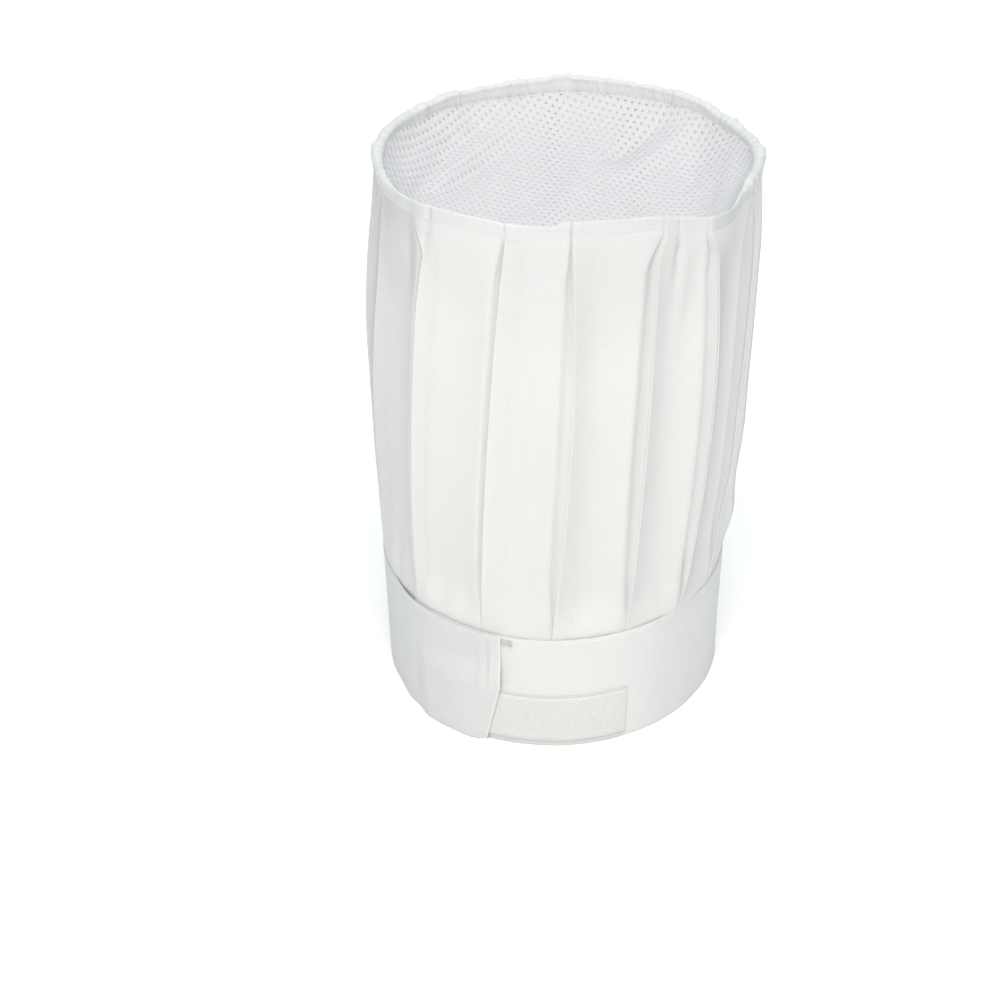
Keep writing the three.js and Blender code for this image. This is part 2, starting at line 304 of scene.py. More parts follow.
def cloth_material(name, colour, rib_pitch, rib_depth, shade=0.05, through_share=0.3):
    """Ribs are a wave along the second cloth coordinate, broken up by noise along the
    first. The same height drives the bump and a slight change of the white. through_share
    is how much of the light passes through each face of the cloth."""
    material, shader = new_material(name, {
        "Roughness": 0.88, "Sheen Weight": 0.05, "Sheen Roughness": 0.6,
        "Specular IOR Level": 0.25,
    })
    cloth = add_node(material, "UVMap", {}, uv_map="cloth").outputs["UV"]
    ribs = add_node(material, "TexWave", {
        "Vector": cloth, "Scale": 0.314 / rib_pitch, "Distortion": 0.7, "Detail": 2,
        "Detail Scale": 0.8,
    }, wave_type="BANDS", bands_direction="Y")
    stretched = add_node(material, "Mapping", {"Vector": cloth, "Scale": (0.35, 2.2, 1)})
    threads = add_node(material, "TexNoise", {
        "Vector": stretched.outputs["Vector"], "Scale": 1.0, "Detail": 4, "Roughness": 0.65,
    })
    weave = add_node(material, "Math", {
        0: ribs.outputs["Fac"], 1: 0.75, 2: threads.outputs["Fac"],
    }, operation="MULTIPLY_ADD").outputs["Value"]
    bump = add_node(material, "Bump", {
        "Strength": 0.5, "Distance": rib_depth * MM, "Height": weave,
    }).outputs["Normal"]

    clouds = add_node(material, "TexNoise", {"Vector": cloth, "Scale": 0.035, "Detail": 3})
    tone = add_node(material, "Math", {
        0: clouds.outputs["Fac"], 1: 0.55, 2: weave,
    }, operation="MULTIPLY_ADD")
    white = add_node(material, "MapRange", {
        "Value": tone.outputs["Value"], "From Min": 0.2, "From Max": 1.9, "To Min": 1 - shade,
        "To Max": 1,
    })
    # Painted shade: the per-point attribute greys the white, and the grey leans to a teal tint, the
    # colour of the shade.
    fold = add_node(material, "Attribute", {}, attribute_name="painted_shade")
    greyer = add_node(material, "Math", {
        0: white.outputs["Result"], 1: fold.outputs["Fac"],
    }, operation="SUBTRACT")
    paint = mix_colours(material, greyer.outputs["Value"], (0, 0.08, 0.07), colour)

    fill_inputs(material, shader, {"Normal": bump, "Base Color": paint})
    through = add_node(material, "BsdfTranslucent", {"Normal": bump, "Color": paint})
    let_through(material, shader, through, through_share)
    return material


crown_cloth = cloth_material("white_poplin", (0.932, 0.927, 0.917), 1.05, 0.07, 0.04, 0.44)
band_cloth = cloth_material("stiff_poplin", (0.832, 0.834, 0.82), 1.05, 0.2, 0.08, 0.2)
hem_cloth = cloth_material("gathered_poplin", (0.925, 0.92, 0.913), 1.0, 0.04, 0.02)


def plain_thread(name, colour, grain, through_share=0.0):
    """Thread and yarn: one colour, dulled by a fine noise in the piece's own space.
    through_share is the share of the light that passes to the other side."""
    material, shader = new_material(name, {"Roughness": 0.8, "Sheen Weight": 0.2})
    place = add_node(material, "TexCoord", {})
    fuzz = add_node(material, "TexNoise", {
        "Vector": place.outputs["Object"], "Scale": grain, "Detail": 4,
    }).outputs["Fac"]
    paint = mix_colours(material, fuzz, 0.8 * np.array(colour), colour)
    bump = add_node(material, "Bump", {"Strength": 0.4, "Distance": 0.1 * MM, "Height": fuzz})
    fill_inputs(material, shader, {"Normal": bump.outputs["Normal"], "Base Color": paint})
    through = add_node(material, "BsdfTranslucent", {"Color": paint})
    let_through(material, shader, through, through_share)
    return material


net_yarn = plain_thread("net_yarn", (0.90, 0.89, 0.908), 2500, through_share=0.45)
sewing_thread = plain_thread("sewing_thread", (0.70, 0.70, 0.68), 4000)
pale_thread = plain_thread("pale_thread", (0.84, 0.84, 0.825), 4000)
tack_thread = plain_thread("tack_thread", (0.60, 0.66, 0.62), 3000)
loop_pile = plain_thread("loop_pile", (0.70, 0.70, 0.685), 2200)

# %% [markdown]
# The hat's shell is an oval at the band and a circle at the rim, and leans to one side as
# it rises. All the pieces are placed on it by an angle round the hat and a height, so one
# function gives the shell and another puts a point on it.

# %% The shell
def crown_oval(height):
    """Centre, half width and half depth of the crown's outside at each height. Each size
    goes straight from the band's to the rim's, with a bulge between."""
    t = np.clip((height - BAND_HEIGHT) / (HAT_HEIGHT - BAND_HEIGHT), 0, None)
    bulge = CROWN_BULGE * 4 * t * (1 - t)
    centre = BAND_CENTRE_X + RIM_LEAN * t - LEAN_BEND * np.sin(np.pi * t)
    half_width = BAND_HALF_WIDTH + (RIM_RADIUS - BAND_HALF_WIDTH) * t + bulge
    half_depth = BAND_HALF_DEPTH + (RIM_RADIUS - BAND_HALF_DEPTH) * t + bulge
    return centre, half_width, half_depth


def band_oval(height):
    """The same for the band, which narrows towards its foot."""
    share = BAND_FOOT_SHARE + (1 - BAND_FOOT_SHARE) * height / BAND_HEIGHT
    return BAND_CENTRE_X + 0 * height, BAND_HALF_WIDTH * share, BAND_HALF_DEPTH * share


def on_oval(oval, angle, out, height):
    """Points at an angle from the back, some way out from an oval."""
    centre, half_width, half_depth = oval
    turn = np.radians(angle)
    x = centre + (half_width + out) * np.sin(turn)
    y = -(half_depth + out) * np.cos(turn)
    return np.stack(np.broadcast_arrays(x, y, height), axis=-1)


def half_turn(angle):
    """The same angle, counted from -180 to 180."""
    return (np.asarray(angle) + 180) % 360 - 180


# How far the rim stands above its level: an angle and a height in each pair.
rim_wave = np.array([
    (-160, -0.7), (-147, -0.8), (-138, -0.1), (-129, -0.4), (-108, 0.8), (-64, -0.6),
    (-50, -0.2), (-37, 1.2), (-24, 1.8), (-18, 0.6), (-4, 1.2), (-1.5, 2.7), (8, 3.0),
    (19, 2.8), (25, 2.2), (33, -0.8), (45, -4.4), (53, -4.4), (60, -1.5), (69, 0.3),
    (90, -1.4), (112, -2.8), (123, -2.6), (135, -0.6), (150, -0.5), (180, 0.3),
])


def rim_lift(angle):
    """How far the rim stands above its level, by angle, with smooth steps between rows."""
    turned = half_turn(angle)
    angles = np.concatenate([[-180], rim_wave[:, 0]])
    lifts = np.concatenate([rim_wave[-1:, 1], rim_wave[:, 1]])
    after = np.clip(np.searchsorted(angles, turned), 1, len(angles) - 1)
    share = ease(turned, angles[after - 1], angles[after])
    return lifts[after - 1] + (lifts[after] - lifts[after - 1]) * share


# Where the shell stands out from its oval: around which angle, how many degrees wide, by
# how much, and between which heights.
bulges = np.array([
    (48, 9, 3.4, 60, 300), (8, 16, -1.3, 180, 300), (-92, 20, 0.8, 70, 190),
    (-47, 8, 1.2, 60, 230), (92, 30, -0.8, 125, 300), (88, 25, -2.6, 78, 105),
    (-95, 25, -1.3, 205, 300),
])


def bulge_out(angle, height):
    """The sum of the shell's bulges at an angle and a height."""
    turned = half_turn(angle)
    return sum(
        lift * hump(turned, centre, width)
        * plateau(height, low - 15, low + 25, high - 25, high + 15)
        for centre, width, lift, low, high in bulges
    )


# %% [markdown]
# A knife pleat is one cloth folded into three layers. From the pressed edge the panel
# falls away into a hollow and rises again to a rounded crest, rolls over into a trough,
# comes up as a flank to the next edge and goes in under it, turns round and comes back.
# The table holds what differs from pleat to pleat: where its edge runs at the band, half way up and
# at the rim, and where the crest before it runs half way up and at the rim, in degrees. Then how
# steeply the panel falls at its edge and over how many millimetres, how steeply it rises to its
# crest, how deep the trough before its edge is, and how far the cloth comes up again from the
# trough to the edge. The last three are painted shade: the share by which the cloth's colour is
# painted greyer in the trough, just past the edge and over the whole panel, or lighter where the
# share is below nought.

# %% Pleat table
pleat_names = (
    "foot", "middle", "head", "crest", "crest_head", "fall", "reach", "rise", "dip", "lip",
    "trough_grey", "edge_grey", "grey",
)
seen_pleats = np.array([
    (-75, -70.8, -68.5, -77.0, -75.0, 0.35, 12, 0.40, 3.0, 0.5, 0.20, 0.0, 0.02),
    (-49.8, -46.9, -44.0, -48.6, -46.0, 0.35, 9, 0.25, 1.2, 0.0, 0.04, 0.0, -0.03),
    (-23.5, -20.6, -17.5, -23.2, -20.2, 0.20, 8, 0.25, 1.9, 0.0, 0.04, 0.0, 0.0),
    (-0.3, 3.7, 0.8, -0.8, -0.6, 0.60, 7, 0.20, 2.0, 1.0, 0.02, 0.03, 0.0),
    (24.4, 26.8, 26.0, 22.3, 23.2, 0.60, 7, 0.50, 3.4, 1.0, 0.12, 0.0, 0.0),
    (44.5, 49.5, 43.8, 44.2, 40.2, 0.95, 3, 0.40, 1.8, 1.0, 0.06, 0.17, -0.015),
    (62.5, 75.0, 69.5, 63.6, 62.0, 0.40, 7, 0.90, 3.4, 1.0, 0.07, 0.08, -0.08),
])
PLEAT_COUNT = 15
FOOT_GAP = 2.5


def all_pleats():
    """The seen pleats, and the others at an even step round the far side, each a little
    different."""
    hidden = PLEAT_COUNT - len(seen_pleats)
    share = np.arange(1, hidden + 1)[:, None] / (hidden + 1)
    first = seen_pleats[0].copy()
    first[:5] += 360
    rows = seen_pleats[-1] + (first - seen_pleats[-1]) * share
    rows[:, 0:3] += rng.uniform(-1.5, 1.5, (hidden, 1))
    rows[:, 1] += rng.uniform(0.0, 3.0, hidden)
    rows[:, 3:5] = rows[:, 1:3] - rng.uniform(2.5, 5.5, (hidden, 2))
    rows[:, 5:9] = (0.45, 8, 0.5, 2.6) * rng.uniform(0.75, 1.25, (hidden, 4))
    rows[:, 9:] = (1.0, 0.05, 0.02, 0.0)
    return np.concatenate([seen_pleats, rows])


pleats = all_pleats()
pleat = {name: pleats[:, i] for i, name in enumerate(pleat_names)}

# Where an edge swings aside near the rim: which pleat, by how many degrees, between which
# heights.
edge_swings = [
    (1, -6.0, 240, 262),
    (4, 2.6, 240, 260),
    (5, -2.0, 244, 260),
]

CLOTH = 0.4
SEAM_HEIGHT = HAT_HEIGHT - HEM_HEIGHT
TUCK_HEIGHT = BAND_HEIGHT - 7
TUCK_DEPTH = 10.5

# Ridges, creases and puckers that run up the cloth: the angle at the foot and at the head,
# how wide, how high, and the heights between which each one shows.
ripples = np.array([
    (33.6, 33.2, 0.7, -1.3, 230, 264),
    (36.6, 35.8, 1.8, 0.9, 205, 256),
    (41.0, 40.0, 2.2, -0.7, 195, 252),
    (-52.0, -43.2, 0.9, -1.1, 236, 276),
    (-52.0, -52.5, 2.4, -1.0, 222, 258),
    (-68.0, -69.0, 2.2, 0.8, 58, 92),
    (-64.0, -64.0, 1.6, -0.6, 58, 86),
    (-59.5, -60.5, 2.2, 0.8, 58, 88),
    (-44.5, -44.0, 2.0, 0.6, 58, 86),
    (-39.5, -39.5, 1.5, -0.5, 58, 84),
    (-34.0, -33.0, 2.2, 0.7, 58, 92),
    (8.0, 8.0, 2.0, -0.5, 58, 84),
    (38.0, 38.0, 2.6, -0.8, 58, 86),
])


def ripple_out(angle, height):
    """The sum of the humps in the table. Each runs from its foot angle to its head angle
    and fades out at both ends."""
    turned = half_turn(angle)
    out = np.zeros(np.broadcast(angle, height).shape)
    share = (height - BAND_HEIGHT) / (HAT_HEIGHT - BAND_HEIGHT)
    for foot, head, width, lift, low, high in ripples:
        centre = foot + (head - foot) * share
        seen = plateau(height, low - 4, low + 12, high - 16, high + 4)
        out = out + lift * hump(turned, centre, width) * seen
    return out


# Shade painted into the cloth's colour: round which angle, how wide, between which heights, and by
# what share it is greyer.
shades = [
    (-49.0, 2.4, 220, 275, 0.08),
    (-62.0, 9.0, 248, 275, 0.07),
    (-77.0, 3.5, 85, 262, 0.06),
    (57.0, 8.0, 240, 275, 0.03),
    (23.8, 0.9, 64, 86, 0.08),
    (44.4, 1.0, 64, 90, 0.12),
    (64.5, 1.6, 68, 112, 0.09),
]


def shade_share(angle, height):
    """The sum of the shades at an angle and a height."""
    turned = half_turn(angle)
    return sum(
        more * hump(turned, centre, width) * plateau(height, low - 8, low + 8, high - 8, high + 8)
        for centre, width, low, high, more in shades
    )


waves = [
    (rng.integers(3, 12), rng.uniform(0.01, 0.05), rng.uniform(0, 6.28), rng.uniform(0.1, 0.25))
    for _ in range(9)
]


def slow_waves(angle, height):
    """Soft unevenness: a few long waves round and up the crown, added together."""
    return sum(
        size * np.sin(np.radians(angle) * around + height * up + start)
        for around, up, start, size in waves
    )


# %% [markdown]
# The crown's foot is tucked in behind the band, and its head is turned in to make the hem.
# The layers are pressed together there. These functions follow the height: how far the
# cloth is drawn in, how much of the hollows is left, and where the pleats' edges are.

# %% Pleats by height
def drawn_in(height):
    """How far the crown's face lies inside its curve: at the band's edge and at the neck
    below the hem."""
    at_foot = 0.6 * (1 - ease(height, BAND_HEIGHT - 0.6, BAND_HEIGHT + 1.2))
    at_foot = at_foot + 0.3 * (1 - ease(height, BAND_HEIGHT, BAND_HEIGHT + 9))
    neck = 0.4 * ease(height, 215, 256)
    turned_in = 0.5 * ease(height, SEAM_HEIGHT, SEAM_HEIGHT + 0.4)
    return at_foot + neck + turned_in


def openness(height):
    """0 where the panels are pressed flat, at the band and in the hem, and 1 between."""
    from_band = ease(height, BAND_HEIGHT - 3, BAND_HEIGHT + 22)
    from_hem = 1 - 0.85 * ease(height, SEAM_HEIGHT - 48, SEAM_HEIGHT + 3)
    return from_band * from_hem


def trough_depth(height):
    """The same for the troughs, which stay deep nearly down to the band."""
    from_band = ease(height, BAND_HEIGHT - 1, BAND_HEIGHT + 20)
    return from_band * (1 - 0.9 * ease(height, SEAM_HEIGHT - 9, SEAM_HEIGHT + 1))


def trough_width(height):
    """The same for the troughs' width: they pinch to a point at the band and the hem."""
    from_band = 0.12 + 0.88 * ease(height, BAND_HEIGHT - 4, BAND_HEIGHT + 32)
    return from_band * (1 - 0.6 * ease(height, SEAM_HEIGHT - 24, SEAM_HEIGHT + 2))


def through_three(t, foot, middle, head):
    """A parabola in t through three values, one row for each pleat."""
    foot, middle, head = (pleat[name][:, None] for name in (foot, middle, head))
    return (1 - t) * (1 - 2 * t) * foot + 4 * t * (1 - t) * middle + t * (2 * t - 1) * head


def fold_edges(height):
    """The angle of each pleat's edge at each height, as rows of pleats, with the first
    two again at the end, and the angle of the crest before each edge."""
    t = np.clip((height - BAND_HEIGHT) / (HAT_HEIGHT - BAND_HEIGHT), 0, 1)
    edges = through_three(t, "foot", "middle", "head")
    crests = through_three(t, "foot", "crest", "crest_head") - FOOT_GAP * (1 - t) * (1 - 2 * t)
    crests = edges - np.clip(edges - crests, 0.6, None) * trough_width(height)
    for which, swing, low, high in edge_swings:
        edges[which] += swing * ease(height, low, high)
        crests[which] += swing * ease(height, low, high)
    edges = np.concatenate([edges, edges[:2] + 360])
    crests = np.concatenate([crests, crests[:2] + 360])
    return edges, crests


def round_width(start, end, height):
    """The arc between two angles on the crown's oval, in millimetres."""
    centre, half_width, half_depth = crown_oval(height)
    middle = np.radians((start + end) / 2)
    reach = np.hypot(half_width * np.cos(middle), half_depth * np.sin(middle))
    return np.radians(end - start) * reach


CHORD_DEPTH = 1.3


def panel_shape(i, along, width, height):
    """How far pleat i's panel lies from the crown's curve, along its own width to its
    crest. It is nearly flat, as a chord is, with its middle inside the curve. The fall is
    slope times reach times (1 - exp(-along / reach)), and the rise is the fifth power of
    the share of the width."""
    open_share = 0.1 + 0.9 * openness(height)
    reach = pleat["reach"][i]
    share = np.clip(along / width, 0, 1)
    fall = pleat["fall"][i] * reach * (1 - np.exp(-np.clip(along, 0, None) / reach))
    fall = fall + CHORD_DEPTH * 4 * share * (1 - share)
    rise = pleat["rise"][i] * width / 5 * share**5
    return (rise - fall) * open_share


def cross_section(i, edges, crests, height, panel_points):
    """Pleat i's cloth at each height, as (angle, out, painted shade) for a run of points: the nose
    of the fold, the panel, the trough, the deep layer, the hairpin and the layer coming back."""
    nxt = (i + 1) % PLEAT_COUNT
    start, end, after = edges[i], edges[i + 1], edges[i + 2]
    width = round_width(start, end, height)
    panel_width = round_width(start, crests[i + 1], height)
    next_width = round_width(end, after, height)
    next_panel = round_width(end, crests[i + 2], height)
    pitch = 0.46 + 0.06 * openness(height)

    def under(along):
        """The next panel's face, which the hidden layers lie below."""
        return panel_shape(nxt, along, next_panel, height)

    bend = np.linspace(-0.5, 0.5, 7)[:, None] * np.pi
    nose_along = pitch * 0.6 * (1 - np.cos(bend))
    nose_out = pitch / 2 * (np.sin(bend) - 1) + panel_shape(i, nose_along, panel_width, height)

    share = np.linspace(0, 1, panel_points + 2)[1:-1, None] ** 1.1
    panel_along = pitch * 0.6 + (panel_width - pitch * 0.6) * share
    panel_out = panel_shape(i, panel_along, panel_width, height)

    crest = panel_shape(i, panel_width, panel_width, height)
    deep_start = under(0) - 0.85 * pitch
    flank_end = np.maximum(width - 0.05, panel_width + 0.1)
    flank = flank_end - panel_width
    dip = np.minimum(pleat["dip"][nxt] * trough_depth(height), 0.5 * flank)
    bottom = deep_start - dip
    roll = np.minimum(3.0, 0.5 * flank)
    share = np.linspace(0, 1, 6)[:, None]
    roll_along = panel_width + roll * share
    roll_out = crest + (bottom - crest) * ease(share, -0.15, 1)
    share = np.linspace(0, 1, 6)[1:, None]
    lip = pleat["lip"][nxt]
    flank_along = panel_width + roll + (flank - roll) * share
    flank_out = bottom + (deep_start - bottom) * lip * share
    dive = np.array([0.45, 1.0])[:, None]
    dive_along = flank_end + 0.25 * dive
    dive_end = np.minimum(flank_out[-1], under(0.15) - 1.9 * pitch)
    dive_out = flank_out[-1] + (dive_end - flank_out[-1]) * dive

    deep_share = np.linspace(0.3, 1, 4)[1:, None]
    deep = deep_share * (TUCK_DEPTH - pitch)
    deep_out = under(deep) - 2 * pitch - (1 - lip) * dip * (1 - deep_share)

    bend = np.linspace(-0.5, 0.5, 5)[1:-1, None] * np.pi
    hairpin_along = TUCK_DEPTH - pitch + pitch / 2 * np.cos(bend)
    hairpin_out = under(hairpin_along) - 1.5 * pitch + pitch / 2 * np.sin(bend)

    back = np.linspace(1, 0.12, 4)[:-1, None] * (TUCK_DEPTH - pitch)
    back_out = under(back) - pitch

    # Painted shade: the colour is greyer past the edge, in the trough and up the flank, over the
    # whole panel by its table share, and on the hidden layers.
    past_edge = pleat["edge_grey"][i] * openness(height) * np.exp(-panel_along / 13)
    in_trough = pleat["trough_grey"][nxt] * trough_depth(height)
    painted_shades = [
        pleat["grey"][i] + 0 * nose_along,
        pleat["grey"][i] + past_edge,
        pleat["grey"][i] + in_trough * np.linspace(0, 1, 6)[:, None],
        in_trough * (1 - share * (0.35 + 0.65 * lip)) + pleat["grey"][i] * (1 - share),
        0.06 * dive, 0.06 + 0 * deep, 0.06 + 0 * hairpin_along, 0.06 + 0 * back,
    ]
    near = (nose_along, panel_along, roll_along, flank_along, dive_along)
    angle = [start + (end - start) * a / width for a in near]
    angle += [end + (after - end) * a / next_width for a in (deep, hairpin_along, back)]
    out = [nose_out, panel_out, roll_out, flank_out, dive_out, deep_out, hairpin_out, back_out]
    size = len(height)
    return tuple(
        np.concatenate([np.broadcast_to(part, (len(part), size)) for part in parts])
        for parts in (angle, out, painted_shades)
    )


def folded_cloth(height, panel_points):
    """The whole folded cloth at each height, as rows of angles, of distances out from the crown's
    oval and of the shade painted into its colour in its troughs, past its edges, over its panels
    and on its hidden layers."""
    edges, crests = fold_edges(height)
    sections = [
        cross_section(i, edges, crests, height, panel_points) for i in range(PLEAT_COUNT)
    ]
    angles = np.concatenate([section[0] for section in sections]).T
    outs = np.concatenate([section[1] for section in sections]).T
    painted_shades = np.concatenate([section[2] for section in sections]).T
    rows = height[:, None]
    outs = outs - drawn_in(rows) + ripple_out(angles, rows) + bulge_out(angles, rows)
    outs = outs + slow_waves(angles, rows) * openness(rows)
    return angles, outs - CLOTH / 2, painted_shades


def cloth_run(points):
    """The distance along the cloth from its first column to each column, and once round,
    taken half way up."""
    row = points[len(points) // 2]
    steps = np.linalg.norm(np.diff(row, axis=0, append=row[:1]), axis=-1)
    return np.concatenate([[0], np.cumsum(steps)])


# %% [markdown]
# The crown's grid has a column for each point of the sections and a row for each height.
# Rows stand close together near the band and the hem, where the folds change fast. The
# flat map runs along the cloth, so its ribs go round the noses and into the tucks.

# %% The crown
CROWN_PANEL_POINTS = 18
FOLDS_OPEN = BAND_HEIGHT + 28
FOLDS_CLOSE = 226
low_rows = np.linspace(TUCK_HEIGHT, FOLDS_OPEN, 24)
middle_rows = np.linspace(FOLDS_OPEN, FOLDS_CLOSE, 24)[1:]
high_rows = np.linspace(FOLDS_CLOSE, SEAM_HEIGHT, 20)[1:]
heights = np.concatenate([low_rows, middle_rows, high_rows, SEAM_HEIGHT + np.array([0.4, 1.6])])
rows = heights[:, None]
angles, outs, painted_shades = folded_cloth(heights, CROWN_PANEL_POINTS)
lift = rim_lift(angles) * ease(rows, 195, SEAM_HEIGHT)
crown_points = on_oval(crown_oval(rows), angles, outs, rows + lift)

run = cloth_run(crown_points)
quads, flat = grid_quads(*angles.shape, wrap_columns=True)
cloth_map = grid_map(run, heights)
# Painted shade: the crown's colour is greyer towards the top, under the hem, and in the shades of
# the table.
painted_shades = painted_shades + 0.035 * ease(rows, 190, 250) + shade_share(angles, rows)
crown = build_mesh("crown_cloth", crown_points, quads, crown_cloth, cloth_map[flat], painted_shades)
thicken(crown, CLOTH)
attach(crown, "root")
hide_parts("crown")


# %% [markdown]
# The hem goes on from the crown's head: the same folded cloth runs up seven millimetres,
# arches over and comes down inside, where it is stitched through. So each of its layers
# follows an arch of its own, the outer ones wider than the inner ones. The stitching draws
# it up into small puffs and creases.

# %% Gathers
def gathers(angle, seed, narrow, wide):
    """Puffs of random width, 1 at the middle and 0 in the crease between two."""
    local = np.random.default_rng(seed)
    widths = local.uniform(narrow, wide, 400)
    joints = np.concatenate([[0], np.cumsum(widths)])
    joints = joints[joints < 360]
    joints = joints * 360 / joints[-1]
    turned = angle % 360
    after = np.clip(np.searchsorted(joints, turned, side="right"), 1, len(joints) - 1)
    share = (turned - joints[after - 1]) / (joints[after] - joints[after - 1])
    size = local.uniform(0.35, 1.0, len(joints))[after]
    return size * np.abs(np.sin(np.pi * share)) ** 0.6


# How many of each wave fit round the hem, and by how much each slants from row to row.
wrinkles = [
    (around, np.random.default_rng(around).uniform(-1.4, 1.4))
    for around in (97, 131, 158, 190, 223, 251)
]


def fine_wrinkles(angle, row):
    """Small creases that cross one another: waves round the hem, each slanting its own way
    up the rows, added together."""
    return sum(np.sin(np.radians(angle) * around + row * slant) for around, slant in wrinkles)


HEM_PANEL_POINTS = 44
ARCH_POINTS = 9
LEG_POINTS = 6
ARCH_STEP = 0.85


def hem_room(angle):
    """How far the hem's middle lies inside its face: it is thin at the back, where the camera
    stands, and padded at the sides and the front."""
    from_back = np.abs(half_turn(angle))
    return 1.0 + 1.6 * ease(from_back, 45, 85) - 0.6 * ease(from_back, 120, 150)


def hem_puffs(angle):
    """How far the gathered cloth stands out, in millimetres: billows as wide as half a
    pleat, puffs between the stitches and fine puckers."""
    billows = 1.5 * gathers(angle, 13, 8, 15)
    puffs = 0.9 * gathers(angle, 11, 2.0, 6.0) + 0.9 * gathers(angle, 12, 0.9, 2.4)
    from_back = np.abs(half_turn(angle))
    strength = 0.12 + 0.5 * ease(from_back, 42, 78) + 0.15 * ease(from_back, 95, 130)
    return (billows + puffs - 1.05) * strength


def hem_arch(out, angle):
    """One run of points for each column of cloth, as (out, up) pairs: up the outside, over
    the arch and down the inside. A layer that lies further in has a smaller arch."""
    puffs = hem_puffs(angle)
    room = hem_room(angle)
    middle = np.minimum(-room, out - 0.35)
    radius = out - middle
    top = HEM_HEIGHT - room + 0.6 * puffs
    leg = np.concatenate([[0, 0.008], np.linspace(0, 1, LEG_POINTS)[1:]])[:, None]
    belly = np.sin(np.pi * leg * 0.62) * puffs
    outside = out + belly, leg * top
    bend = np.linspace(0, np.pi, ARCH_POINTS)[1:-1, None]
    reach = radius + 0.93 * puffs * np.cos(bend) ** 2
    arch = middle + reach * np.cos(bend), top + (radius + 0.3 * puffs) * np.sin(bend)
    drawn = 0.2 * (1 - leg[::-1]) ** 2
    inside = middle - radius - belly[::-1] * 0.45 + drawn, leg[::-1] * (top + 0.6) - 0.6
    return tuple(np.concatenate(parts) for parts in zip(outside, arch, inside))


def hem_tab(angle):
    """1 on the short tab at the front, where the hem's two ends lap."""
    return plateau(angle, 178.5, 178.8, 184.7, 185.0)


# Folds that slant across the hem: the angle at its foot and at its head, how wide, how high.
hem_folds = [(24.6, 22.4, 0.7, -0.6), (0.4, -1.2, 0.6, -0.5), (0.9, 2.2, 0.6, -0.5)]

seam_angles, seam_outs, _ = folded_cloth(np.array([SEAM_HEIGHT]), HEM_PANEL_POINTS)
hem_angles = seam_angles[0]
turned = half_turn(hem_angles)
from_back = np.abs(turned)
base = bulge_out(hem_angles, SEAM_HEIGHT) - drawn_in(SEAM_HEIGHT) - CLOTH / 2
pressed = 1 - 0.55 * ease(from_back, 55, 100)
layers = np.minimum(seam_outs[0] - base, 0.7) * pressed
hem_out, hem_up = hem_arch(layers[None, :], hem_angles[None, :])
hem_rows = np.arange(len(hem_out))[:, None]
share = np.clip(hem_up / HEM_HEIGHT, 0, 1)
tab = hem_tab(hem_angles) * share
side_bulge = 1.2 * hump(from_back, 93, 12) * share
wrinkled = (0.02 + 0.05 * ease(from_back, 48, 75)) * ease(share, 0, 0.3)
hem_out = hem_out + base + 0.35 * tab + side_bulge + 0.1 * ease(share, 0.1, 0.8)
hem_out = hem_out + wrinkled * fine_wrinkles(hem_angles, hem_rows)
for foot, head, width, lift in hem_folds:
    hem_out = hem_out + lift * hump(turned, foot + (head - foot) * share, width)
hem_up = hem_up + 1.3 * tab + rim_lift(hem_angles)
rim = crown_oval(SEAM_HEIGHT + 0.5 * HEM_HEIGHT * share)
hem_points = on_oval(rim, hem_angles[None, :], hem_out, SEAM_HEIGHT + hem_up)
quads, flat = grid_quads(*hem_points.shape[:2], wrap_columns=True)
hem_run = cloth_run(hem_points)
arch_run = np.arange(len(hem_points)) * ARCH_STEP + SEAM_HEIGHT
cloth_map = grid_map(hem_run, arch_run)

# %% [markdown]
# The hem's colour carries painted shade: it is greyer in its creases, at its sides, on its arch,
# and on its face at the back and past the edge of the pleat at its right. Its inner side is painted
# lighter away from the back.

# %% The hem's painted shade
inner_side = ease(hem_rows, LEG_POINTS + ARCH_POINTS - 3, len(hem_out) - 1)
on_arch = hump(hem_rows, LEG_POINTS + ARCH_POINTS / 2, ARCH_POINTS / 2)
at_sides = plateau(from_back, 52, 78, 112, 140)
at_back = (0.105 - 0.04 * hump(turned, -30, 22)) * (1 - ease(from_back, 44, 66))
RIGHT_EDGE = 43.8
past_edge = plateau(hem_angles, RIGHT_EDGE, RIGHT_EDGE + 0.6, 58, 80)
# Painted shade in the hem's colour: greyer in the puffs' creases, in the table's shades, at the
# sides, on the face at the back and past the right pleat's edge, and on the arch; painted lighter
# on the inner side away from the back.
hem_painted_shade = (
    0.03 * (1 - np.clip(hem_puffs(hem_angles) + 0.6, 0, 1))
    + shade_share(hem_angles, SEAM_HEIGHT)
    + 0.09 * at_sides
    - 0.17 * inner_side * ease(from_back, 50, 80)
    + (at_back + 0.09 * past_edge) * (1 - inner_side)
    + (0.09 + 0.08 * ease(from_back, 115, 140)) * on_arch
)
hem = build_mesh("rim_hem", hem_points, quads, hem_cloth, cloth_map[flat], hem_painted_shade)
thicken(hem, CLOTH)
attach(hem, "root")
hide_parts("rim_casing")


# %% [markdown]
# The top is a coarse net. Its holes are cut through: the net is a honeycomb in which each
# cell is a six-sided ring round its hole. The flat honeycomb is laid over a dish that sags
# in the middle and has a few soft folds. Its edge is drawn together and held inside the hem.

# %% The net
DISH_RADIUS = RIM_RADIUS - 3.4
NET_REACH = DISH_RADIUS + 1.6
NET_SAG = 17.0
NET_CURVE = 5.0
NET_LEAN = -0.35
HOLE_PITCH = 4.85
ROW_PITCH = 2.79
NET_TURN = np.radians(107)
HOLE_SHARE = 0.145
NET_WALL = 0.35

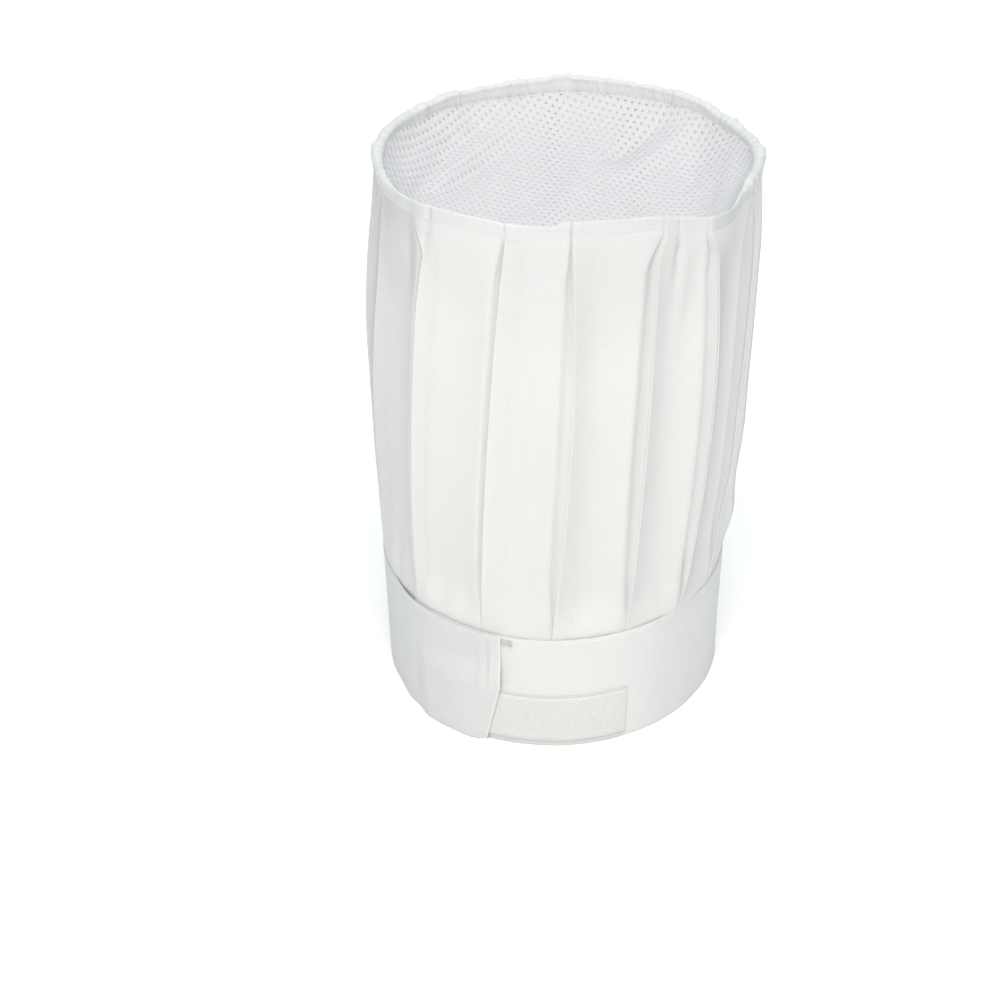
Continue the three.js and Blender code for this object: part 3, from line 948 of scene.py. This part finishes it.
# Soft folds: each runs straight between two points of the plan, and is so wide and so high.
net_creases = np.array([
    (16, 33, 50, 68, 5.0, -2.6), (27, 19, 58, 55, 6.0, 2.2), (57, 5, 67, 47, 6.0, -1.6),
    (-71, -17, -57, 42, 4.5, -2.2), (-57, 42, -40, 63, 4.5, -1.8), (-56, -2, -32, 46, 5.0, -2.0),
    (-62, 5, -32, 59, 5.0, 2.0), (-83, 4, -72, 40, 4.0, -1.6), (16, 50, -12, -40, 8.0, 1.6),
    (-20, -20, -30, -70, 6.0, 1.6), (30, -20, 44, -66, 6.0, 1.8), (80, 30, 70, -30, 5.0, 1.8),
])


def net_height(x, y):
    """The dish: a sag that grows as a power of the way in from the edge and is deeper at
    the near side, plus a hump along each fold of the table, and at the edge the rim's wave."""
    share = np.clip(np.hypot(x, y) / DISH_RADIUS, 0, 1)
    angle = np.degrees(np.arctan2(x, -y))
    folded = 0
    for x1, y1, x2, y2, width, lift in net_creases:
        length = np.hypot(x2 - x1, y2 - y1)
        along = ((x - x1) * (x2 - x1) + (y - y1) * (y2 - y1)) / length**2
        aside = ((x - x1) * (y2 - y1) - (y - y1) * (x2 - x1)) / length
        folded = folded + lift * hump(aside, 0, width) * plateau(along, -0.25, 0.25, 0.7, 1.3)
    folded = folded * (1 - share**8)
    sag = NET_SAG * (1 - share**NET_CURVE) * (1 + NET_LEAN * y / DISH_RADIUS)
    at_sides = 5.2 * hump(np.abs(angle), 98, 34) * share**6
    return SEAM_HEIGHT + 0.5 - sag + folded + at_sides + rim_lift(angle) * share**4


# Where the knit is opened: round which line of the plan, given by its place across the
# hat and its lean, how wide, and by how much the holes grow there.
open_bands = [(-7, 0.0, 5, 0.08), (31, 0.0, 6, 0.08), (60, 0.3, 14, 0.04), (-66, 0.0, 12, 0.04)]


def hole_share(x, y):
    """How wide the holes are, as a share of a cell: wider in the bands of the table."""
    return HOLE_SHARE + sum(
        more * hump(x - lean * y, place, width) for place, lean, width, more in open_bands
    )


def honeycomb():
    """The corners of every cell and the corners of its hole, flat. Rows of holes are
    staggered by half a pitch, and the whole is turned, as the net was cut askew."""
    count = int(NET_REACH / ROW_PITCH) + 2
    row, column = np.meshgrid(np.arange(-count, count), np.arange(-count, count), indexing="ij")
    middle = np.stack([HOLE_PITCH * (column + 0.5 * (row % 2)), ROW_PITCH * row], axis=-1)
    turned = np.array([[np.cos(NET_TURN), np.sin(NET_TURN)], [-np.sin(NET_TURN), np.cos(NET_TURN)]])
    middle = middle.reshape(-1, 2) @ turned
    middle = middle[np.hypot(*middle.T) < NET_REACH]
    near = (ROW_PITCH**2 - HOLE_PITCH**2 / 4) / (2 * ROW_PITCH)
    far = (ROW_PITCH**2 + HOLE_PITCH**2 / 4) / (2 * ROW_PITCH)
    half = HOLE_PITCH / 2
    ring = np.array([
        (0, -far), (half, -near), (half, near), (0, far), (-half, near), (-half, -near),
    ]) @ turned
    cell = middle[:, None] + ring
    hole = middle[:, None] + ring * hole_share(*middle.T)[:, None, None]
    return cell, hole


cell, hole = honeycomb()
flat_points = np.concatenate([cell.reshape(-1, 2), hole.reshape(-1, 2)])
shared, number = np.unique(flat_points.round(3), axis=0, return_inverse=True)
number = number.reshape(2, -1, 6)
outer, inner = number[0], number[1]
ring_quads = np.stack([
    outer, np.roll(outer, -1, axis=1), np.roll(inner, -1, axis=1), inner,
], axis=-1).reshape(-1, 4)
from_middle = np.hypot(*shared.T)[:, None]
EDGE_START = NET_REACH - 3.3
shared *= 1 - 0.5 * (from_middle - EDGE_START).clip(0) / from_middle.clip(1)
net_points = np.concatenate([shared, net_height(*shared.T)[:, None]], axis=1)
rim_share = np.hypot(*shared.T) / NET_REACH
rim_angle = np.degrees(np.arctan2(shared[:, 0], -shared[:, 1]))
grooves = ripple_out(rim_angle, SEAM_HEIGHT).clip(None, 0)
hem_moved = bulge_out(rim_angle, SEAM_HEIGHT) + grooves
stretch = 1 + hem_moved / NET_REACH * rim_share**3
net_points[:, :2] *= stretch[:, None]
net_points[:, 0] += crown_oval(SEAM_HEIGHT)[0]
net = build_mesh("top_mesh", net_points, ring_quads, net_yarn)
thicken(net, NET_WALL)
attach(net, "root")
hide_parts("top_net")
print("net holes", len(cell))

# %% [markdown]
# The headband is a strip of stiff cloth. It starts under the flap, goes once round and
# ends as the flap, which stands off to clear the end below it and the two tapes. The same
# strip function gives both faces, and a rounded section joins them.

# %% The headband
UNDER_END = -52
FLAP_EDGE = -17
FLAP_SLANT = 5.3
FLAP_SLANT_HEIGHT = 32
BAND_WALL = 1.2
GAP = 0.3
TAPE_TOP = 28.5
TAPE_STACK = 0.9 + GAP + 0.8 + GAP
HOOK_THICKNESS = 0.8


def flap_stand(angle, height):
    """How far the flap's face stands off the band's own: over the other end all the way
    up, and over the tapes lower down, less past the hook tape."""
    low = 1 - ease(height, TAPE_TOP + 1, TAPE_TOP + 18)
    lift_off = ease(angle, -65, -53)
    over_tapes = ease(angle, UNDER_END, -44)
    past_hook = ease(angle, -24, FLAP_EDGE)
    stand = (GAP + BAND_WALL) * lift_off
    return stand + (TAPE_STACK * over_tapes - HOOK_THICKNESS * past_hook) * low


# Upright creases near the flap's edge: at which angle, how wide, how high.
edge_creases = [(-20.4, 0.6, 0.6), (-21.7, 0.8, -0.6), (-23.6, 0.9, 0.5), (-26.0, 1.5, -0.4)]


def flap_creases(angle, height):
    """The creases of the table, and the mouth that the flap opens at half height."""
    crease = sum(lift * hump(angle, place, width) for place, width, lift in edge_creases)
    mouth = 0.7 * hump(angle, FLAP_EDGE, 2.2) * hump(height, 38, 7)
    return crease * hump(height, 42, 13) + mouth


def band_wobble(height, angle):
    """The band's own slight unevenness: two waves round it, none at its top."""
    wobble = 0.12 * np.sin(np.radians(angle) * 11 + height * 0.05)
    wobble = wobble + 0.1 * np.sin(np.radians(angle) * 23 + height * 0.11)
    return wobble * (1 - ease(height, BAND_HEIGHT - 8, BAND_HEIGHT))


def band_strip(depth, height, angle):
    """A point of the strip, some depth below its face."""
    flap_angle = angle - 360
    on_flap = flap_angle > -76
    out = np.where(on_flap, flap_stand(flap_angle, height), 0)
    out = out + np.where(on_flap, flap_creases(flap_angle, height), 0)
    at_edge = ease(flap_angle, FLAP_EDGE - 3.5, FLAP_EDGE)
    depth = depth * (1 - 0.6 * at_edge)
    low = 1 - ease(height, 28, 36)
    out = out - at_edge * (0.72 + 0.6 * low + 0.2 * ease(height, 44, 54))
    cut = FLAP_SLANT * np.clip(1 - height / FLAP_SLANT_HEIGHT, 0, 1)
    cut = cut * ease(flap_angle, FLAP_EDGE - 16, FLAP_EDGE)
    out = out - depth + band_wobble(height, angle)
    return on_oval(band_oval(height), angle - cut, out, height)


def strip_profile(wall, low, high, face_rows, back_rows):
    """Once round a strip's section, as (depth, height) pairs: up the face, over the rounded
    top, down the back and round the foot."""
    r = min(0.45, wall / 2)
    up = np.linspace(low + r, high - r, face_rows)
    down = np.linspace(high - r, low + r, back_rows)
    over = [(wall * 0.13, high - r * 0.27), (wall / 2, high), (wall * 0.87, high - r * 0.27)]
    below = [(wall * 0.87, low + r * 0.27), (wall / 2, low), (wall * 0.13, low + r * 0.27)]
    face = np.stack([np.zeros(face_rows), up], axis=1)
    back = np.stack([np.full(back_rows, wall), down], axis=1)
    return np.concatenate([face, over, back, below])


def rounded_ends(depth, wall, angles, arc):
    """The depth drawn towards the strip's middle near its two ends, so that both ends are
    round and closed. arc is the strip's length of one degree, in millimetres."""
    from_end = np.minimum(angles - angles[0], angles[-1] - angles) * arc
    share = np.clip(from_end / (wall / 2), 0, 1)
    return wall / 2 + (depth - wall / 2) * np.sqrt(1 - (1 - share) ** 2)


def with_round_ends(first, last, middle, wall, arc):
    """Column angles for a strip, with a few close ones at each end for its rounding."""
    near = np.array([0, 0.04, 0.12, 0.25, 0.5, 0.75, 1.0]) * wall / 2 / arc
    return np.concatenate([first + near, middle, last - near[::-1]])


def strip_map(profile, angles, arc):
    """The flat map of a strip: along its length, and the distance round its section."""
    steps = np.linalg.norm(np.diff(profile, axis=0, append=profile[:1]), axis=1)
    around = np.concatenate([[0], np.cumsum(steps)])
    along = np.append(angles, angles[-1] + 1) * arc
    return grid_map(along, around)


ARC = np.pi / 180 * 91
profile = strip_profile(BAND_WALL, 0, BAND_HEIGHT, 44, 12)
middle = np.concatenate([np.linspace(UNDER_END + 1, 286, 240)[:-1], np.linspace(286, 342, 130)])
band_angles = with_round_ends(UNDER_END, 360 + FLAP_EDGE, middle, BAND_WALL, ARC)
depth = rounded_ends(profile[:, 0:1], BAND_WALL, band_angles, ARC)
band_points = band_strip(depth, profile[:, 1:2], band_angles[None, :])
quads, flat = grid_quads(*band_points.shape[:2], wrap_rows=True)
cloth_map = strip_map(profile, band_angles, ARC)
band_turn = band_angles[None, :] + 0 * profile[:, 1:2]
# Painted shade in the band's colour: greyer from 270 degrees round to the flap, and from 26 to 42
# degrees on. The rounded top is 0.12 greyer all along. A painted highlight makes the last 0.9
# degrees of the flap, at its edge, lighter.
band_painted_shade = 0.03 * (band_turn > 270) + 0.045 * ease(band_turn, 26, 42)
band_painted_shade = band_painted_shade + 0.12 * (profile[:, 1:2] > BAND_HEIGHT - 0.45)
band_painted_shade = band_painted_shade - 0.08 * (band_turn > 360 + FLAP_EDGE - 0.9)
band = build_mesh("headband_cloth", band_points, quads, band_cloth, cloth_map[flat], band_painted_shade)
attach(band, "root")
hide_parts("headband")


# %% [markdown]
# The closure is two tapes. The loop tape lies on the band's face, seen below the flap: its
# pile is rows of small knobs set a little off from one another. The hook tape is under the
# flap, against the loop tape. The flap hides it, so it is left plain.

# %% The tapes
LOOP_TAPE = {"start": -42.0, "end": 25.3, "foot": 2.5, "width": 26.0, "thickness": 0.9}
HOOK_TAPE = {"start": -40.0, "end": -25.0, "foot": 3.5, "width": 24.0, "thickness": 0.8}


def pile(along, up):
    """The height of the loops' knobs: two crossed waves whose rows wander, and a fine
    unevenness. Its edges are plain woven selvedge."""
    wander = 0.8 * np.sin(along * 0.9 + 1.3 * np.sin(up * 0.45)) + 0.6 * np.sin(along * 0.37)
    knobs = np.sin(2 * np.pi * along / 2.3 + wander) * np.sin(2 * np.pi * up / 2.0 + 0.4 * wander)
    fine = np.sin(along * 5.1 + up * 2.3) * np.sin(up * 4.7 - along * 1.9)
    return 0.24 * knobs + 0.08 * fine


def tape_points(tape, bulge, columns, rows):
    """A tape's section swept along the band's face, its face raised by bulge(along, up)."""
    wall = tape["thickness"]
    low, high = tape["foot"], tape["foot"] + tape["width"]
    profile = strip_profile(wall, low, high, rows, 8)
    middle = np.linspace(tape["start"] + 0.5, tape["end"] - 0.5, columns)
    angles = with_round_ends(tape["start"], tape["end"], middle, wall, ARC)
    depth = rounded_ends(profile[:, 0:1], wall, angles, ARC)
    along = np.minimum(angles - angles[0], angles[-1] - angles)[None, :] * ARC
    up = profile[:, 1:2]
    from_rim = np.minimum(along, np.minimum(up - low, high - up))
    inside = ease(from_rim, 1.0, 2.2)
    pressed = 0.8 * wall * (1 - ease(from_rim, 0, 2.2))
    on_face = profile[:, 0:1] == 0
    return profile, angles, depth, on_face * (inside * bulge(angles[None, :] * ARC, up) - pressed)


def tape_mesh(name, profile, angles, out):
    """A tape's mesh, from its section, its column angles and how far out it lies."""
    height = profile[:, 1:2]
    points = on_oval(band_oval(height), angles, out, height)
    quads, flat = grid_quads(*points.shape[:2], wrap_rows=True)
    return build_mesh(name, points, quads, loop_pile, strip_map(profile, angles, ARC)[flat])


profile, tape_angles, depth, face = tape_points(LOOP_TAPE, pile, 330, 74)
out = GAP * 0.2 + LOOP_TAPE["thickness"] - depth + face
out = out + band_wobble(profile[:, 1:2], tape_angles) - 0.12
loop_tape = tape_mesh("loop_pile_tape", profile, tape_angles, out)
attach(loop_tape, "root")
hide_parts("loop_tape")


def no_pile(along, up):
    """No knobs: the hook tape's face is flat."""
    return 0 * along * up


profile, tape_angles, depth, face = tape_points(HOOK_TAPE, no_pile, 90, 30)
stand = flap_stand(tape_angles, profile[:, 1:2]) - BAND_WALL
hook_tape = tape_mesh("hook_pile_tape", profile, tape_angles, stand - GAP * 0.3 - depth)
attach(hook_tape, "root")
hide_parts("hook_tape")


# %% [markdown]
# The stitching is short lengths of thread, each a small rounded bar that lies half sunk in
# the cloth. A row follows a line on a surface, given by its angle and height, and one
# function places any row. The panels' own face is worked out the same way as the cloth's.

# %% Stitching
def crown_face(angle, height):
    """How far out the crown's cloth lies at single points, found from the folded cloth's
    own panels."""
    edges, crests = fold_edges(height)
    turned = (angle - edges[0]) % 360 + edges[0]
    out = np.zeros(len(height))
    for i in range(PLEAT_COUNT):
        width = round_width(edges[i], crests[i + 1], height)
        along = (turned - edges[i]) / (crests[i + 1] - edges[i]) * width
        here = (turned >= edges[i]) & (turned < edges[i + 1])
        out = np.where(here, panel_shape(i, along, width, height), out)
    out = out - drawn_in(height) + ripple_out(angle, height) + bulge_out(angle, height)
    return out + slow_waves(angle, height) * openness(height)


def thread_bars(centres, ahead, outward, length, thick):
    """A bar for each centre: six-sided, with pointed round ends, along its own direction.
    Returns the points and the faces of all bars."""
    side = np.cross(outward, ahead)
    side /= np.linalg.norm(side, axis=1, keepdims=True)
    along = np.array([-0.5, -0.42, -0.2, 0.2, 0.42, 0.5])
    girth = np.array([0.15, 0.75, 1.0, 1.0, 0.75, 0.15])
    turn = np.arange(6) * np.pi / 3
    lift = girth[:, None] * np.cos(turn) * thick / 2
    across = girth[:, None] * np.sin(turn) * thick / 2
    points = (
        centres[:, None, None]
        + ahead[:, None, None] * (along[:, None] * length + 0 * lift)[None, ..., None]
        + outward[:, None, None] * lift[None, ..., None]
        + side[:, None, None] * across[None, ..., None]
    )
    quads, _ = grid_quads(6, 6, wrap_columns=True)
    faces = [quads[:, ::-1] + 36 * k for k in range(len(centres))]
    return points.reshape(-1, 3), np.concatenate(faces)


def outward_at(angle):
    """The level direction straight out from the hat, at each angle."""
    turn = np.radians(angle)
    return np.stack([np.sin(turn), -np.cos(turn), 0 * turn], axis=1)


def stitch_line(place, start, end, pitch):
    """Centres, directions and outward directions of a row of stitches. place gives points
    for shares of the way between start and end, both (angle, height)."""
    fine = np.linspace(0, 1, 400)
    angle = start[0] + (end[0] - start[0]) * fine
    height = start[1] + (end[1] - start[1]) * fine
    path = place(angle, height)
    run = np.concatenate([[0], np.cumsum(np.linalg.norm(np.diff(path, axis=0), axis=1))])
    count = max(2, int(run[-1] / pitch))
    at = (np.arange(count) + 0.5) * run[-1] / count
    centres, before, after = (
        np.stack([np.interp(at + aside, run, path[:, k]) for k in range(3)], axis=1)
        for aside in (0, -0.5, 0.5)
    )
    ahead = after - before
    ahead /= np.linalg.norm(ahead, axis=1, keepdims=True)
    return centres, ahead, outward_at(np.interp(at, run, angle))


def on_crown(angle, height, out=0.0):
    """Points on the face of the crown's panels, or out from it."""
    lift = rim_lift(angle) * ease(height, 195, SEAM_HEIGHT)
    return on_oval(crown_oval(height), angle, crown_face(angle, height) + out, height + lift)


def in_seam(angle, height):
    """Points that lie a little below the crown's face."""
    return on_crown(angle, height, -0.07)


def on_band(angle, height):
    """Points on the band's face, or on the flap's."""
    flap = np.where(angle < FLAP_EDGE, flap_stand(angle, height), 0)
    return on_oval(band_oval(height), angle, flap + 0.02, height)


def on_tape(angle, height):
    """Points on the selvedge of the loop tape."""
    return on_oval(band_oval(height), angle, 0.4 + band_wobble(height, angle), height)


crown_lines = [
    ((-67.4, 76), (-63.4, 250)),
    ((-45.0, 76), (-39.4, 246)),
    ((-17.1, 61), (-12.5, 252)),
    ((-12.0, 104), (-8.4, 196)),
    ((6.4, 64), (7.4, 250)),
]
crown_lines += [((angle + 10.5, 74), (angle + 10.0, 248)) for angle in pleat["middle"][7:]]
hem_line = ((-180, SEAM_HEIGHT - 0.1), (180, SEAM_HEIGHT - 0.1))
band_lines = [
    ((-16.2, BAND_HEIGHT - 2.6), (286, BAND_HEIGHT - 2.6)),
    ((-74, BAND_HEIGHT - 2.6), (FLAP_EDGE - 0.8, BAND_HEIGHT - 2.6)),
]
tape_top = LOOP_TAPE["foot"] + LOOP_TAPE["width"] - 0.9
tape_lines = [((-16.0, tape_top), (24.6, tape_top))]


def sew(name, thread, length, thick, rows):
    """One object for a set of stitched lines, each given with its surface and pitch."""
    parts = [stitch_line(place, *line, pitch) for place, lines, pitch in rows for line in lines]
    centres, ahead, outward = (np.concatenate(part) for part in zip(*parts))
    points, faces = thread_bars(centres, ahead, outward, length, thick)
    piece = build_mesh(name, points, faces, thread)
    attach(piece, "root")
    return piece


sew("left_stitches", sewing_thread, 1.7, 0.3, [(on_crown, crown_lines[:2], 2.9)])
sew("panel_stitches", pale_thread, 1.7, 0.26, [(on_crown, crown_lines[2:], 2.9)])
pale_rows = [(in_seam, [hem_line], 2.8), (on_band, band_lines, 2.9), (on_tape, tape_lines, 2.2)]
sew("edge_stitches", pale_thread, 1.8, 0.2, pale_rows)


# %% [markdown]
# A dark bar tack holds the corner where the flap meets the band's top: threads wound close
# together one way, with a few loose ones across.

# %% The bar tack
TACK_COUNT = 20
tack_angle = rng.uniform(-16.6, -13.6, TACK_COUNT)
tack_height = rng.uniform(55.0, 58.6, TACK_COUNT)
tilt = rng.normal(0.4, 0.5, TACK_COUNT)
turn = np.radians(tack_angle)
tack_out = rng.uniform(0.05, 0.4, TACK_COUNT) + 0.1
tack_centres = on_oval(band_oval(tack_height), tack_angle, tack_out, tack_height)
round_way = np.stack([np.cos(turn), np.sin(turn), 0 * turn], axis=1)
tack_ahead = round_way * np.cos(tilt)[:, None] + np.array([0, 0, 1]) * np.sin(tilt)[:, None]
tack_outward = outward_at(tack_angle)
points, faces = thread_bars(tack_centres, tack_ahead, tack_outward, 2.6, 0.4)
tack = build_mesh("bar_tack", points, faces, tack_thread)
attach(tack, "root")
